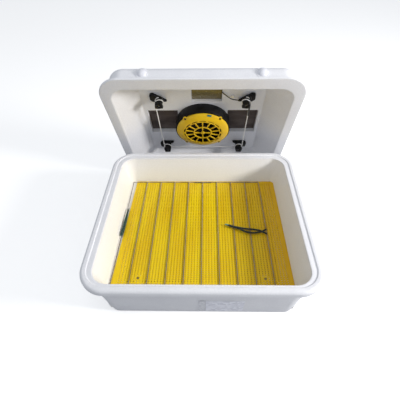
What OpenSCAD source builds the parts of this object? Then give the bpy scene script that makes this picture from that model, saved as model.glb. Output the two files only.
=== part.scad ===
// Foam egg incubator: a deep white tub with a perforated yellow egg floor and a sliding wire
// turner, and a shallow lid that carries the fan, heater and controller. The lid is drawn
// where it rests when open: standing behind the tub and leaning forward.
// Origin: centre of the tub's underside. +X is to the right, +Y to the rear, +Z up. Millimetres.

/* [Tub] */
// Outside width over the rim
rim_w = 614; // [560:1:680]
// Outside depth over the rim
rim_d = 533; // [480:1:600]
// Height from the table to the top of the rim
tub_h = 196.5; // [180:0.5:230]
// Outside corner radius of the rim
rim_r = 70; // [55:1:80]
// Height of the thick lip around the rim
lip_h = 22; // [16:1:30]
// How far the lip stands out over the wall
lip_out = 16; // [8:1:24]
// Width of the flat rim at the front
rim_front = 22.7; // [18:0.1:30]
// Width of the flat rim at the sides and the back
rim_side = 32; // [18:0.5:40]
// Height of the egg floor above the table
floor_z = 106; // [90:1:120]

/* [Turner] */
// Distance between two wires, one egg lane
lane = 50; // [40:1:52]
// Number of egg lanes between the wires
lanes = 9; // [7:1:9]
// Radius of the wire
wire_r = 1.2; // [1:0.1:2]
// Side to side travel of the wires
turner_travel = 45; // [30:1:46]

/* [Lid] */
// Outside width of the lid
lid_w = 601; // [550:1:660]
// Outside depth of the lid
lid_d = 520; // [470:1:580]
// Height of the lid
lid_h = 78; // [72:1:95]
// Depth of the hollow under the lid
hollow_h = 60; // [50:1:62]
// Lean of the open lid from lying flat, in degrees
lid_lean = 70; // [60:1:80]
// Place of the open lid's lower edge behind the centre
lid_foot_y = 385; // [375:1:400]
// Gap between the open lid's lower edge and the table
lid_foot_z = 2; // [1:0.5:6]

/* [Fan] */
// Outside radius of the fan housing
fan_r = 94; // [80:1:100]
// Number of vents around the guard
guard_vents = 14; // [10:1:18]
// Number of fan blades
blades = 7; // [5:1:9]

/* [Hidden] */
$fn = 48;
hull_fn = 32;
eps = 0.5;
gap = 0.3;

// Tub: wall draft from the lip's underside to the table, and the hollow's slope above the floor
wall_draft = 0.13;
lip_z = tub_h - lip_h;
foot_in = lip_out + wall_draft * lip_z;
mouth_w = rim_w - 2 * rim_side;
mouth_d = rim_d - rim_front - rim_side;
mouth_y = (rim_front - rim_side) / 2;
mouth_r = 44;
floor_w = 508;
floor_d = 425;
floor_r = 14;
sheet_t = 2.5;
ledge_z = floor_z - sheet_t;
pit_w = 440;
pit_d = 380;
sheet_x0 = -238;
sheet_skew = 1.6;
pit_z = 26;
pad_y = 243;
pillar_x = 176.5;
pillar_y = -178.5;

// Turner: wires, the cross wires and the crank behind the rear edge of the floor
wire_z = floor_z + wire_r + 0.6;
wire_x0 = -lane * lanes / 2 - 25;
wire_y = 205;
crank_r = turner_travel / 2;
crank_z = 62;
pin_r = 3;
slot_w = 16.4;
yoke_y = wire_y - 1;
disc_y = 220;

// Lid: wall inset from the flange, flange sizes and the place of the parts under the roof
lid_r = 70;
flange_t = 10;
wall_in = 22;
edge_r = 28;
flange_side = 30;
flange_front = 39;
ceiling_w = 394;
ceiling_d = 344;
window_x = 137;
window_w = 104;
window_d = 121;
pane_z = 75;
control_x = 14;
control_y = -130;
button_x = 18.2;
button_pitch = 11.4;
mains_x = 160;
mains_y = -140;
guard_z = 20;
grille_z = 10;
guard_r = 90;
screw_x = 58;
screw_y = 66;
post_x = 137;
post_y = 127;
cord_r = 1.6;
run_z = 33;
lead_a = [65, -144, 57];
lead_b = [126, -119, 50];
lead_r = 1.5;
plug_x = 172;
plug_z = 45;
seat_out = 1;

// Bails: two wire links that carry the lid from the closed pose to the open one
bail_wire_r = 3;
bail_x = 301;
lug_x = 207;
bail_y = 262;
lug_back = 2;
lug_up = 40;
seat_z = tub_h + 0.5;
shut_y = lid_d / 2 - lug_back;
shut_z = seat_z + lug_up;
open_y = lid_foot_y - lug_back * cos(lid_lean) + lug_up * sin(lid_lean);
open_z = lid_foot_z + lug_back * sin(lid_lean) + lug_up * cos(lid_lean);
bail_z = (pow(shut_y - bail_y, 2) + pow(shut_z, 2) - pow(open_y - bail_y, 2) - pow(open_z, 2))
    / (2 * (shut_z - open_z));

// ---- shared shapes ----

module rounded_rect(w, d, r) {
    square([w - 2 * r, d], center = true);
    square([w, d - 2 * r], center = true);
    for (x = [-1, 1], y = [-1, 1])
        translate([x * (w / 2 - r), y * (d / 2 - r)])
            circle(r);
}

module slab(w, d, r, z, t = 0.2) {
    translate([0, 0, z])
        linear_extrude(t)
            rounded_rect(w, d, r, $fn = hull_fn);
}

// A slab whose edge is drawn in by inset from a w by d outline of corner radius r
module inset_slab(w, d, r, inset, z) {
    slab(w - 2 * inset, d - 2 * inset, max(r - inset, 12), z);
}

// Cylinder along +Y from y0 to y1, centred on x and z
module y_rod(x, y0, y1, z, r) {
    translate([x, y0, z])
        rotate([-90, 0, 0])
            cylinder(h = y1 - y0, r = r);
}

// Cylinder along +X from x0 to x1, centred on y and z
module x_rod(x0, x1, y, z, r) {
    translate([x0, y, z])
        rotate([0, 90, 0])
            cylinder(h = x1 - x0, r = r);
}

// Round cord through a list of points, with a slightly fuller ball at each bend
module cord(points, r) {
    for (i = [0 : len(points) - 1])
        translate(points[i])
            sphere(r * 1.1, $fn = 24);
    for (i = [1 : len(points) - 1])
        let (a = points[i - 1], v = points[i] - a, len_v = norm(v))
            translate(a)
                rotate([0, acos(v[2] / len_v), atan2(v[1], v[0])])
                    cylinder(h = len_v, r = r, $fn = 24);
}

// Straight cord with round ends
module strand(a, b, r) {
    hull() {
        translate(a)
            sphere(r, $fn = 16);
        translate(b)
            sphere(r, $fn = 16);
    }
}

// Pan head screw at the origin: head on +Z, shank down -Z
module screw(shank, r = 1.9, head_r = 3.8, head_h = 2) {
    difference() {
        cylinder(h = head_h, r1 = head_r, r2 = head_r * 0.75);
        for (a = [0, 90])
            rotate(a)
                translate([-head_r * 0.55, -0.4, head_h - 0.9])
                    cube([head_r * 1.1, 0.8, 1]);
    }
    translate([0, 0, -shank])
        cylinder(h = shank, r = r);
}

// Places the lid's parts: drawn as the closed lid lies, centred, with z = 0 at the flange face
module on_lid() {
    translate([0, lid_foot_y, lid_foot_z])
        rotate([-lid_lean, 0, 0])
            translate([0, -lid_d / 2, 0])
                children();
}

module both_sides() {
    children();
    mirror([1, 0, 0])
        children();
}

// ---- tub ----

module tub_outside() {
    hull() {
        inset_slab(rim_w, rim_d, rim_r, foot_in + 3, 0);
        inset_slab(rim_w, rim_d, rim_r, foot_in, 4);
        inset_slab(rim_w, rim_d, rim_r, lip_out, lip_z);
    }
    // lip with a soft step at its upper and lower edges
    translate([0, 0, lip_z])
        linear_extrude(lip_h - 6)
            rounded_rect(rim_w, rim_d, rim_r);
    translate([0, 0, lip_z - 3])
        linear_extrude(lip_h + 3)
            rounded_rect(rim_w - 6, rim_d - 6, rim_r - 3);
    // moulded pads with upright faces for the turner motor and the bail clips
    translate([-62, pad_y - 24, 22])
        cube([124, 24, 84]);
    both_sides()
        translate([lug_x - 14, pad_y - 24, bail_z - 30])
            cube([28, 24, 60]);
}

module tub_hollow() {
    hull() {
        slab(floor_w, floor_d, floor_r, ledge_z);
        slab(floor_w, floor_d, floor_r, floor_z);
        translate([0, mouth_y, 0])
            slab(mouth_w, mouth_d, mouth_r, tub_h + eps);
    }
    // shallow step around the mouth
    translate([0, mouth_y, tub_h - 3])
        linear_extrude(4)
            rounded_rect(mouth_w + 12, mouth_d + 12, mouth_r + 6);
    translate([0, 0, pit_z])
        linear_extrude(ledge_z - pit_z + eps)
            rounded_rect(pit_w, pit_d, 20);
}

// Pocket under the rear edge of the floor for the crank, and the slot the yoke comes up through
module crank_pocket() {
    translate([-40, pit_d / 2 - 2, pit_z + 1])
        cube([80, disc_y + 8 - pit_d / 2, ledge_z - pit_z - 1.5]);
    translate([-32, yoke_y - 4, ledge_z - 6])
        cube([64, 10, 7]);
}

module base_tub() {
    color("white")
        difference() {
            union() {
                difference() {
                    tub_outside();
                    tub_hollow();
                    crank_pocket();
                }
                both_sides()
                    translate([pillar_x, pillar_y, pit_z - 2])
                        cylinder(h = ledge_z - pit_z + 2, r = 13);
            }
            both_sides() {
                translate([pillar_x, pillar_y, ledge_z - 20])
                    cylinder(h = 21, r = 2);
                for (z = [-20, 20])
                    y_rod(lug_x, pad_y - 16, pad_y + eps, bail_z + z, 2);
            }
            y_rod(0, 200, pad_y + eps, crank_z, 5);
            for (x = [-48, 48], z = [-26, 26])
                y_rod(x, pad_y - 16, pad_y + eps, crank_z + z, 2);
        }
}

module water_tray() {
    color("gainsboro")
        difference() {
            translate([0, -14, pit_z + gap])
                linear_extrude(30)
                    rounded_rect(410, 300, 16);
            for (x = [-1, 1])
                translate([x * 102, -14, pit_z + 2.4])
                    linear_extrude(30)
                        rounded_rect(200, 295, 14);
        }
}

module floor_grid() {
    color("gold") {
        difference() {
            translate([0, 0, ledge_z])
                linear_extrude(sheet_t)
                    rounded_rect(floor_w - 1.6, floor_d - 1.6, floor_r);
            // the left edge is trimmed at a slant
            translate([sheet_x0, floor_d / 2, ledge_z - eps])
                rotate(-sheet_skew)
                    translate([-40, -floor_d - 20, 0])
                        cube([40, floor_d + 40, sheet_t + 2 * eps]);
            // slot for the yoke, under the rear cross wire
            translate([-31, yoke_y - 1.5, ledge_z - eps])
                cube([62, 5, sheet_t + 2 * eps]);
            both_sides()
                translate([pillar_x, pillar_y, ledge_z - eps]) {
                    cylinder(h = 5, r = 2.2);
                    translate([0, 0, 1])
                        cylinder(h = 3, r1 = 2.2, r2 = 5.8);
                }
        }
        // stiffening ribs under the sheet
        for (x = [-150, -50, 50, 150])
            translate([x - 1.2, -180, ledge_z - 9])
                cube([2.4, 360, 9]);
    }
}

module floor_screws() {
    color("dimgray")
        both_sides()
            translate([pillar_x, pillar_y, 0]) {
                translate([0, 0, ledge_z - 14])
                    cylinder(h = 16, r = 1.9);
                translate([0, 0, floor_z - 1.5])
                    cylinder(h = 1.5, r1 = 2.6, r2 = 4);
            }
}

// Places a sheet on the sloping front wall: x along the wall, z up it
module on_front_wall(x, z) {
    translate([x, -(rim_d / 2 - lip_out - wall_draft * (lip_z - z)), z])
        rotate([atan(wall_draft), 0, 0])
            children();
}

module label_sheet() {
    color("whitesmoke")
        on_front_wall(64, 58)
            translate([-52, -0.9, -44])
                cube([104, 0.7, 88]);
}

module label_tape() {
    color("lightgray")
        on_front_wall(2, 58)
            translate([-9, -0.7, -46])
                cube([18, 0.5, 92]);
}

// ---- turner drive behind the tub ----

module motor_bracket() {
    color("silver")
        difference() {
            translate([-58, pad_y, crank_z - 34])
                cube([116, 2, 68]);
            y_rod(0, pad_y - 1, pad_y + 3, crank_z, 6);
            for (x = [-48, 48], z = [-26, 26])
                y_rod(x, pad_y - 1, pad_y + 3, crank_z + z, 2.2);
            for (x = [-31, 31])
                y_rod(x, pad_y - 1, pad_y + 3, crank_z, 2.2);
        }
}

module turner_motor() {
    color("dimgray")
        difference() {
            union() {
                y_rod(0, pad_y + 2, pad_y + 21, crank_z, 25);
                translate([-37, pad_y + 2, crank_z - 6])
                    cube([74, 2, 12]);
                y_rod(0, pad_y + 21, pad_y + 22, crank_z, 20);
            }
            y_rod(0, pad_y - 1, pad_y + 16, crank_z, 3.6);
            for (x = [-31, 31])
                y_rod(x, pad_y, pad_y + 5, crank_z, 2.2);
        }
}

module motor_screws() {
    color("silver") {
        for (x = [-48, 48], z = [-26, 26])
            translate([x, pad_y + 2, crank_z + z])
                rotate([-90, 0, 0])
                    screw(14);
        for (x = [-31, 31])
            translate([x, pad_y + 4, crank_z])
                rotate([-90, 0, 0])
                    screw(3.6);
    }
}

module turner_lead() {
    color("black") {
        cord([[27.5, 256, 71], [46, 256, 78], [80, 250, 118], [112, 250, 122]], 2);
        x_rod(112, 134, 250, 122, 6);
        for (z = [-3, 3])
            x_rod(134, 146, 250, 122 + z, 1.4);
    }
}

module bail_clip() {
    difference() {
        union() {
            translate([lug_x - 9, pad_y, bail_z - 27])
                cube([18, 4, 54]);
            translate([lug_x - 9, pad_y + 4, bail_z - 8])
                cube([18, bail_y - pad_y - 4, 16]);
            x_rod(lug_x - 9, lug_x + 9, bail_y, bail_z, 8);
        }
        x_rod(lug_x - 10, lug_x + 10, bail_y, bail_z, bail_wire_r + 0.08);
        for (z = [-20, 20])
            y_rod(lug_x, pad_y - 1, pad_y + 5, bail_z + z, 2.2);
    }
}

module bail_clips() {
    color("whitesmoke")
        both_sides()
            bail_clip();
}

module clip_screws() {
    color("silver")
        both_sides()
            for (z = [-20, 20])
                translate([lug_x, pad_y + 4, bail_z + z])
                    rotate([-90, 0, 0])
                        screw(16);
}

module rear_bails() {
    color("silver")
        both_sides() {
            x_rod(lug_x - 14, bail_x, bail_y, bail_z, bail_wire_r);
            x_rod(lug_x - 14, bail_x, open_y, open_z, bail_wire_r);
            cord([[bail_x, bail_y, bail_z], [bail_x, open_y, open_z]], bail_wire_r);
        }
}

module crank_disc() {
    color("whitesmoke")
        difference() {
            y_rod(0, disc_y, disc_y + 4, crank_z, 28);
            y_rod(0, disc_y - 1, disc_y + 5, crank_z, 3.5);
            y_rod(-crank_r, disc_y - 1, disc_y + 5, crank_z, 2);
        }
}

module crank_pin() {
    color("silver") {
        y_rod(-crank_r, yoke_y - 4, disc_y, crank_z, pin_r);
        y_rod(-crank_r, disc_y, disc_y + 4, crank_z, 2);
    }
}

module motor_shaft() {
    color("silver")
        y_rod(0, disc_y, pad_y + 15, crank_z, 3.5);
}

module turner_frame() {
    color("silver")
        translate([0, 0, wire_z]) {
            for (i = [0 : lanes])
                y_rod(wire_x0 + i * lane, -wire_y, wire_y, 0, wire_r);
            for (y = [-wire_y, wire_y])
                x_rod(wire_x0, wire_x0 + lanes * lane, y, 0, wire_r);
        }
}

// Slotted steel strip under the rear cross wire, driven by the crank pin
module frame_yoke() {
    color("gray")
        difference() {
            union() {
                translate([-crank_r - slot_w / 2 - 6, yoke_y, crank_z - 33])
                    cube([slot_w + 12, 2, 66]);
                translate([-crank_r - 6, yoke_y, crank_z + 32])
                    cube([12, 2, wire_z - wire_r - crank_z - 32]);
            }
            translate([-crank_r - slot_w / 2, yoke_y - 1, crank_z - 27])
                cube([slot_w, 4, 54]);
        }
}

module left_pull_cord() {
    color("darkgreen")
        cord([[-246, 72, wire_z + 5], [-247, 30, wire_z + 5], [-247, -38, wire_z + 5]], 3);
}

module right_pull_cord() {
    color("darkgreen")
        translate([0, 0, wire_z + 5]) {
            strand([73, 9, 0], [198, -14, 0], 3);
            strand([130, -21, 0], [186, -25, 0], 2.4);
        }
}

// ---- lid ----

module lid_outside() {
    // flange with a soft step at its upper edge
    linear_extrude(flange_t - 3)
        rounded_rect(lid_w, lid_d, lid_r);
    linear_extrude(flange_t)
        rounded_rect(lid_w - 6, lid_d - 6, lid_r - 3);
    hull() {
        inset_slab(lid_w, lid_d, lid_r, wall_in, flange_t - 1);
        for (a = [0, 30, 60, 90])
            inset_slab(lid_w, lid_d, lid_r, wall_in + edge_r * (1 - cos(a)) * 0.9,
                lid_h - edge_r - 0.2 + edge_r * sin(a));
    }
    // flat seats for the vent plugs
    both_sides()
        y_rod(plug_x, -lid_d / 2 + wall_in - seat_out, -lid_d / 2 + wall_in + 16, plug_z, 19);
}

module lid_hollow() {
    hull() {
        slab(lid_w - 2 * flange_side, lid_d - 2 * flange_front, 48, -eps);
        slab(lid_w - 2 * flange_side - 6, lid_d - 2 * flange_front - 6, 46, 6);
        slab(ceiling_w + 16, ceiling_d + 14, 34, hollow_h - 7);
        slab(ceiling_w, ceiling_d, 28, hollow_h - 0.2);
    }
}

module lid_shell() {
    color("white")
        on_lid()
            difference() {
                lid_outside();
                lid_hollow();
                both_sides() {
                    translate([window_x - window_w / 2, -window_d / 2, hollow_h - eps])
                        cube([window_w, window_d, lid_h]);
                    translate([window_x - window_w / 2 - 5, -window_d / 2 - 5, pane_z])
                        cube([window_w + 10, window_d + 10, 10]);
                    y_rod(plug_x, -lid_d / 2, -lid_d / 2 + 90, plug_z, 9);
                    for (z = [24, 56])
                        y_rod(lug_x, lid_d / 2 - wall_in - 14, lid_d / 2 - wall_in + eps, z, 2);
                }
                translate([control_x - 49, control_y - 27, hollow_h - eps])
                    cube([98, 54, lid_h]);
                translate([mains_x - 22, mains_y - 14, lid_h - 15])
                    cube([44, 28, 20]);
            }
}

module window_pane(side) {
    color([0.3, 0.26, 0.26, 0.6])
        on_lid()
            translate([side * window_x - window_w / 2 - 4.6, -window_d / 2 - 4.6, pane_z])
                cube([window_w + 9.2, window_d + 9.2, 2.6]);
}

module left_window() {
    window_pane(-1);
}

module right_window() {
    window_pane(1);
}

module lid_lugs() {
    lug_y = lid_d / 2 - lug_back;
    wall_y = lid_d / 2 - wall_in;
    color("whitesmoke")
        on_lid()
            both_sides()
                difference() {
                    union() {
                        translate([lug_x - 9, wall_y, 18])
                            cube([18, 4, 44]);
                        translate([lug_x - 9, wall_y + 4, lug_up - 8])
                            cube([18, lug_y - wall_y - 4, 16]);
                        x_rod(lug_x - 9, lug_x + 9, lug_y, lug_up, 8);
                    }
                    x_rod(lug_x - 10, lug_x + 10, lug_y, lug_up, bail_wire_r + 0.08);
                    for (z = [24, 56])
                        y_rod(lug_x, wall_y - 1, wall_y + 5, z, 2.2);
                }
}

module lug_screws() {
    color("silver")
        on_lid()
            both_sides()
                for (z = [24, 56])
                    translate([lug_x, lid_d / 2 - wall_in + 4, z])
                        rotate([-90, 0, 0])
                            screw(14, head_r = 3.4);
}

// ---- controller ----

// Places the controller's parts, with z = 0 at the roof
module on_controller() {
    on_lid()
        translate([control_x, control_y, lid_h])
            children();
}

module controller_case() {
    color("gainsboro")
        on_controller()
            difference() {
                union() {
                    linear_extrude(5)
                        rounded_rect(128, 66, 6);
                    translate([0, 0, -6])
                        linear_extrude(7)
                            rounded_rect(97, 53, 3);
                }
                translate([0, 0, -7])
                    linear_extrude(9)
                        rounded_rect(93, 49, 2);
                translate([-44, -4, 1])
                    cube([56, 24, 5]);
                for (i = [0 : 2])
                    translate([button_x + i * button_pitch, 8, -1])
                        cylinder(h = 8, r = 4.2);
            }
}

module display_lens() {
    color("darkred")
        on_controller()
            translate([-43.8, -3.8, 2.2])
                cube([55.6, 23.6, 2.6]);
}

module controller_board() {
    color("darkgreen")
        on_controller()
            translate([0, 0, -5.8])
                linear_extrude(1.6)
                    rounded_rect(92, 48, 1);
}

module controller_cover() {
    color([0.36, 0.33, 0.2])
        on_controller()
            translate([0, 0, -8])
                linear_extrude(2)
                    rounded_rect(97, 53, 3);
}

module control_button(i) {
    color("slategray")
        on_controller()
            translate([button_x + i * button_pitch, 8, 0]) {
                translate([0, 0, -1.8])
                    cylinder(h = 8.2, r = 3.8);
                translate([0, 0, -3])
                    cylinder(h = 1.4, r = 5.2);
            }
}

module up_button() {
    control_button(0);
}

module down_button() {
    control_button(1);
}

module set_button() {
    control_button(2);
}

// Places the mains parts, with z = 0 at the roof
module on_mains() {
    on_lid()
        translate([mains_x, mains_y, lid_h])
            children();
}

module mains_plate() {
    color("dimgray")
        on_mains()
            difference() {
                linear_extrude(2.5)
                    rounded_rect(58, 38, 4);
                translate([-19.2, -10.2, -1])
                    cube([22.4, 20.4, 6]);
                translate([6.5, -8.6, -1])
                    cube([11, 17.2, 6]);
            }
}

module mains_socket() {
    color("black")
        on_mains()
            difference() {
                translate([-19, -10, -13])
                    cube([22, 20, 17]);
                translate([-16, -7, -9])
                    cube([16, 14, 14]);
            }
}

module power_rocker() {
    color("firebrick")
        on_mains()
            translate([12, 0, 0])
                intersection() {
                    translate([-5, -7, -4])
                        cube([10, 14, 12]);
                    x_rod(-5, 5, 0, -6, 11.5);
                }
}

// ---- fan ----

module fan_housing() {
    color("black")
        on_lid() {
            difference() {
                translate([0, 0, guard_z + 3])
                    cylinder(h = hollow_h - guard_z - 3, r = fan_r);
                translate([0, 0, guard_z])
                    cylinder(h = hollow_h - guard_z - 3, r = fan_r - 4);
            }
            // screw posts for the guard
            for (x = [-screw_x, screw_x], y = [-screw_y, screw_y])
                translate([x, y, guard_z + 3])
                    difference() {
                        cylinder(h = hollow_h - guard_z - 4, r = 5);
                        translate([0, 0, -1])
                            cylinder(h = 12, r = 1.9);
                    }
        }
}

module fan_motor() {
    color("dimgray")
        on_lid() {
            translate([0, 0, 46])
                cylinder(h = 11, r = 24);
            translate([0, 0, 40])
                cylinder(h = 6, r = 3);
        }
}

module fan_rotor() {
    color("gray")
        on_lid()
            difference() {
                union() {
                    translate([0, 0, 28])
                        cylinder(h = 15, r = 26);
                    for (i = [0 : blades - 1])
                        rotate(i * 360 / blades)
                            translate([50, 0, 36])
                                rotate([32, 0, 0])
                                    cube([56, 26, 2], center = true);
                }
                translate([0, 0, 39])
                    cylinder(h = 10, r = 3.1);
                translate([0, 0, 43])
                    cylinder(h = 10, r = 30);
            }
}

// One wedge of a ring, as the cutter for a vent
module ring_wedge(r0, r1, angle) {
    translate([0, 0, grille_z - 5])
        rotate(-angle / 2)
            rotate_extrude(angle = angle)
                translate([r0, 0])
                    square([r1 - r0, 30]);
}

module fan_guard() {
    color("gold")
        on_lid()
            difference() {
                union() {
                    rotate_extrude()
                        polygon([
                            [0, grille_z], [62, grille_z], [72, grille_z + 2], [84, grille_z + 6.5],
                            [guard_r, guard_z], [guard_r, guard_z + 3], [84, guard_z - 0.5],
                            [72, grille_z + 5], [62, grille_z + 3], [0, grille_z + 3]
                        ]);
                    for (x = [-screw_x, screw_x], y = [-screw_y, screw_y])
                        translate([x, y, guard_z])
                            cylinder(h = 3, r = 8);
                }
                for (i = [0 : guard_vents - 1])
                    rotate(i * 360 / guard_vents)
                        ring_wedge(33, 57.6, 360 / guard_vents - 7);
                for (i = [0 : 3])
                    rotate(i * 90 + 45)
                        ring_wedge(7, 28, 78);
                for (i = [0 : 11])
                    rotate(i * 30)
                        ring_wedge(61, 64.5, 22);
                for (x = [-screw_x, screw_x], y = [-screw_y, screw_y])
                    translate([x, y, 0])
                        cylinder(h = 40, r = 2.1);
                for (x = [-screw_x, screw_x], y = [-screw_y, screw_y])
                    translate([x, y, 0])
                        cylinder(h = guard_z, r = 4.6);
            }
}

module guard_screws() {
    color("dimgray")
        on_lid()
            for (x = [-screw_x, screw_x], y = [-screw_y, screw_y])
                translate([x, y, guard_z])
                    rotate([180, 0, 0])
                        screw(12, r = 1.8, head_r = 3.8);
}

module guard_tag() {
    color("teal")
        on_lid()
            rotate(-75)
                translate([84.5, -7, grille_z + 5.7])
                    rotate([0, -30, 0])
                        cube([6, 14, 0.8]);
}

// ---- heater cord and its brackets ----

// One spool shaped bracket, hanging from the ceiling: a wedge foot, a plate and an end block
module cord_bracket() {
    difference() {
        union() {
            translate([post_x, -post_y, hollow_h - 4])
                linear_extrude(4 - gap)
                    polygon([[-22, 11], [27, -18], [30, 6], [24, 13]]);
            translate([post_x, -post_y, 20])
                cylinder(h = hollow_h - 20 - gap, r = 7);
            translate([post_x, -post_y, 43])
                cylinder(h = 2.4, r = 14);
            translate([post_x - 13, -post_y - 11, 19])
                cube([26, 22, 11]);
        }
        translate([post_x, -post_y, 18])
            cylinder(h = 6, r = 4.2);
        translate([post_x, -post_y, 18])
            cylinder(h = 50, r = 2.2);
    }
}

module four_corners() {
    both_sides() {
        children();
        mirror([0, 1, 0])
            children();
    }
}

module cord_brackets() {
    color("black")
        on_lid()
            four_corners()
                cord_bracket();
}

module bracket_screws() {
    color("silver")
        on_lid()
            four_corners()
                translate([post_x, -post_y, 24])
                    rotate([180, 0, 0])
                        screw(hollow_h - 24 - 1, r = 2);
}

// Ring of heater cord around a bracket's core
module cord_turn(z) {
    translate([post_x, -post_y, z])
        rotate_extrude()
            translate([7 + cord_r + 0.2, 0])
                circle(cord_r, $fn = 24);
}

module heater_cord() {
    run_x = post_x + 7 + cord_r + 0.2;
    run_y = post_y + 7 + cord_r + 0.2;
    color("white")
        on_lid() {
            four_corners() {
                cord_turn(37.2);
                cord_turn(40.8);
            }
            cord([[-run_x, -post_y, run_z], [-run_x, run_y, run_z],
                [run_x, run_y, run_z], [run_x, -post_y, run_z]], cord_r);
        }
}

// Places parts on the lead: x along it
module on_lead() {
    run = lead_b - lead_a;
    on_lid()
        translate(lead_a)
            rotate([0, -asin(run[2] / norm(run)), atan2(run[1], run[0])])
                children();
}

module heater_lead() {
    color("black")
        on_lead()
            x_rod(0, norm(lead_b - lead_a), 0, 0, lead_r);
}

// Sleeve tag threaded on the lead
module sensor_tag() {
    color("ivory")
        on_lead()
            translate([norm(lead_b - lead_a) / 2, 0, 0])
                difference() {
                    cube([9, 7, 5], center = true);
                    x_rod(-6, 6, 0, 0, lead_r + 0.1);
                }
}

// ---- vent plugs ----

module vent_plug(side) {
    face_y = -lid_d / 2 + wall_in - seat_out;
    color("whitesmoke")
        on_lid()
            translate([side * plug_x, face_y, plug_z])
                rotate([90, 0, 0]) {
                    translate([0, 0, -28])
                        cylinder(h = 28, r = 8.8);
                    intersection() {
                        translate([0, 0, -11])
                            sphere(19);
                        cylinder(h = 10, r = 15);
                    }
                }
}

module left_vent_plug() {
    vent_plug(-1);
}

module right_vent_plug() {
    vent_plug(1);
}

base_tub();
water_tray();
floor_grid();
floor_screws();
label_sheet();
label_tape();
motor_bracket();
turner_motor();
motor_screws();
turner_lead();
bail_clips();
clip_screws();
turner_frame();
frame_yoke();
left_pull_cord();
right_pull_cord();
crank_disc();
crank_pin();
motor_shaft();
rear_bails();
lid_shell();
left_window();
right_window();
lid_lugs();
lug_screws();
controller_case();
controller_board();
controller_cover();
display_lens();
mains_plate();
mains_socket();
fan_housing();
fan_motor();
fan_guard();
guard_screws();
guard_tag();
cord_brackets();
bracket_screws();
heater_cord();
heater_lead();
sensor_tag();
fan_rotor();
up_button();
down_button();
set_button();
power_rocker();
left_vent_plug();
right_vent_plug();
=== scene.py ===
import math
import random

import bmesh
import bpy
from mathutils import Matrix, Vector


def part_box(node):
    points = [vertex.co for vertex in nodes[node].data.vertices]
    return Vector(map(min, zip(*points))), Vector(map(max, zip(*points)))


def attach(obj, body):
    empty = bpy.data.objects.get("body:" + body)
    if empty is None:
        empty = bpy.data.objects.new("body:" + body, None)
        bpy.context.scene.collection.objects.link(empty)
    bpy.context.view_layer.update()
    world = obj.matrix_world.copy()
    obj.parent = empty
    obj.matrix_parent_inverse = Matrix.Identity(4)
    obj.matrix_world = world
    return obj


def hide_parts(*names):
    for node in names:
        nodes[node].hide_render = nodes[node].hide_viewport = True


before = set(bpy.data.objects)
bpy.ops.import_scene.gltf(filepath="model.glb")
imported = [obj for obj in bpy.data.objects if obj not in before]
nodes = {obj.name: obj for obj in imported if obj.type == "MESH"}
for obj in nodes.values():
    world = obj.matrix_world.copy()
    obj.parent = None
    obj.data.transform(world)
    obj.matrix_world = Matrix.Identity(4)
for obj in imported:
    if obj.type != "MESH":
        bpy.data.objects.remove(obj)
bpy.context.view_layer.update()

# Tub: overall sizes come from the frame, the rest are the mould's own sizes, in metres
tub_lo, tub_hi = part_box("base_tub")
RIM_W = tub_hi.x - tub_lo.x
RIM_D = tub_hi.y - tub_lo.y
TUB_H = tub_hi.z
RIM_R = 0.070
LIP_H = 0.022
LIP_OUT = 0.016
WALL_DRAFT = 0.13
RIM_FRONT, RIM_SIDE = 0.0227, 0.032
MOUTH_W, MOUTH_D, MOUTH_R = RIM_W - 2 * RIM_SIDE, RIM_D - RIM_FRONT - RIM_SIDE, 0.044
MOUTH_Y = (RIM_FRONT - RIM_SIDE) / 2
GROOVE = 0.0021
floor_lo, floor_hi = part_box("floor_grid")
FLOOR_Z = floor_hi.z
SHEET_T = 0.0025
LEDGE_Z = FLOOR_Z - SHEET_T
HOLLOW_W, HOLLOW_D, HOLLOW_R = 0.508, 0.425, 0.014
PIT_W, PIT_D, PIT_R, PIT_Z = 0.440, 0.380, 0.020, 0.026
PILLAR_X, PILLAR_Y, PILLAR_R = 0.1765, -0.1785, 0.013
PAD_Y, PAD_DEPTH = 0.243, 0.030
MOTOR_PAD_X, MOTOR_PAD_Z = 0.062, (0.022, 0.106)
CLIP_PAD_X, CLIP_PAD_Z = 0.014, 0.030
YOKE_SLOT_X, YOKE_SLOT_Y = 0.032, (0.200, 0.210)
POCKET_X, POCKET_Y = 0.040, 0.228
MARK_Z, MARK_R = 0.030, 0.0095
CORD_Z = 0.1135

# Lid: its parts are laid out as the closed lid lies, with z = 0 at the flange face
LID_W, LID_D, LID_H, LID_R = 0.601, 0.520, 0.078, 0.070
LID_LEAN = math.radians(70)
LID_FOOT = Vector((0, 0.385, 0.002))
FLANGE_T = 0.010
FLANGE_SIDE, FLANGE_FRONT = 0.030, 0.039
WALL_IN = 0.022
EDGE_R = 0.028
HOLLOW_H = 0.060
CEILING_W, CEILING_D = 0.394, 0.344
WINDOW = Vector((0.137, 0, 0))
WINDOW_W, WINDOW_D = 0.104, 0.121
PANE_Z = 0.075
CONTROL = Vector((0.014, -0.130, LID_H))
MAINS = Vector((0.160, -0.140, LID_H))
POST = Vector((0.137, 0.127, 0))
CORNERS = ((-1, -1), (-1, 1), (1, 1), (1, -1))
WAIST_R, TURN_R, CORD_R = 0.0110, 0.0127, 0.0016
PLUG_BORE, PLUG_SEAT = 0.009, 0.019
GUARD_R, GUARD_RIM_Z, GRILLE_Z, GUARD_T = 0.090, 0.020, 0.010, 0.003
SCREW_X, SCREW_Y = 0.058, 0.066
PLUG_X, PLUG_Z = 0.172, 0.045
BOLT_X = 0.207
ON_LID = (
    Matrix.Translation(LID_FOOT)
    @ Matrix.Rotation(-LID_LEAN, 4, "X")
    @ Matrix.Translation((0, -LID_D / 2, 0))
)


# ---- mesh helpers ----


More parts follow.
